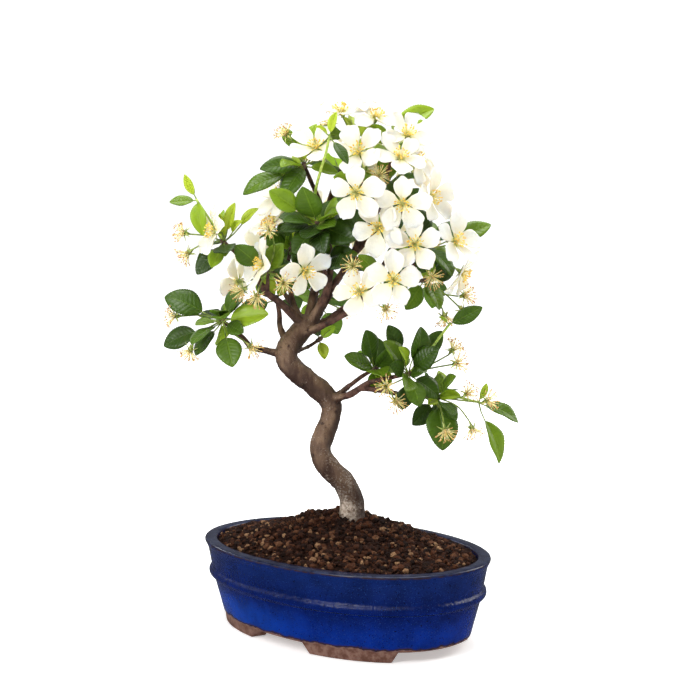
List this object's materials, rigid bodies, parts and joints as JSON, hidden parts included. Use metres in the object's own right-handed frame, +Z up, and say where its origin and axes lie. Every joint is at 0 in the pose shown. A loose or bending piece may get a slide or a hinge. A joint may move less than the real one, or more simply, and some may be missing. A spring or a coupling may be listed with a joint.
{
  "type": "crabapple bonsai",
  "caption": "Small flowering crabapple tree with an S-curved trunk, leafy sprays and white blossom, planted in soil in an oval glazed ceramic pot on four feet.",
  "frame": {"origin": "middle of the whole plant's footprint, on the surface that the pot's feet stand on", "axes": "+Z up; X along the pot's long axis; the tree's front, as pictured, faces between +X and -Y"},
  "size_m": [0.24, 0.1984, 0.39],
  "materials": {
    "glaze": "gloss",
    "screen": "matte",
    "soil": "matte",
    "bark": "matte",
    "foliage": "satin",
    "petals": "matte"
  },
  "bodies": {
    "root": {"pot": "glaze", "drain_screen_left": "screen", "drain_screen_right": "screen", "soil": "soil", "trunk_and_branches": "bark", "left_tip_spray": "foliage", "left_low_spray": "foliage", "left_mid_spray": "foliage", "left_inner_spray": "foliage", "centre_low_spray": "foliage", "centre_spray": "foliage", "top_left_spray": "foliage", "top_spray": "foliage", "upper_mid_spray": "foliage", "upper_right_spray": "foliage", "right_mid_spray": "foliage", "right_spray": "foliage", "front_low_spray": "foliage", "right_low_spray": "foliage", "arm_spray": "foliage", "arm_tip_spray": "foliage", "arm_inner_spray": "foliage", "trunk_twig_spray": "foliage", "left_stub_spray": "foliage", "back_left_spray": "foliage", "back_mid_spray": "foliage", "back_top_spray": "foliage", "back_right_spray": "foliage", "back_upper_spray": "foliage", "back_low_spray": "foliage", "blossom_01": "petals", "blossom_02": "petals", "blossom_03": "petals", "blossom_04": "petals", "blossom_05": "petals", "blossom_06": "petals", "blossom_07": "petals", "blossom_08": "petals", "blossom_09": "petals", "blossom_10": "petals", "blossom_11": "petals", "blossom_12": "petals", "blossom_13": "petals", "blossom_14": "petals", "blossom_15": "petals", "blossom_16": "petals", "blossom_17": "petals", "blossom_18": "petals", "blossom_19": "petals", "blossom_20": "petals", "blossom_21": "petals", "blossom_22": "petals", "blossom_23": "petals", "blossom_24": "petals"}
  },
  "joints": []
}
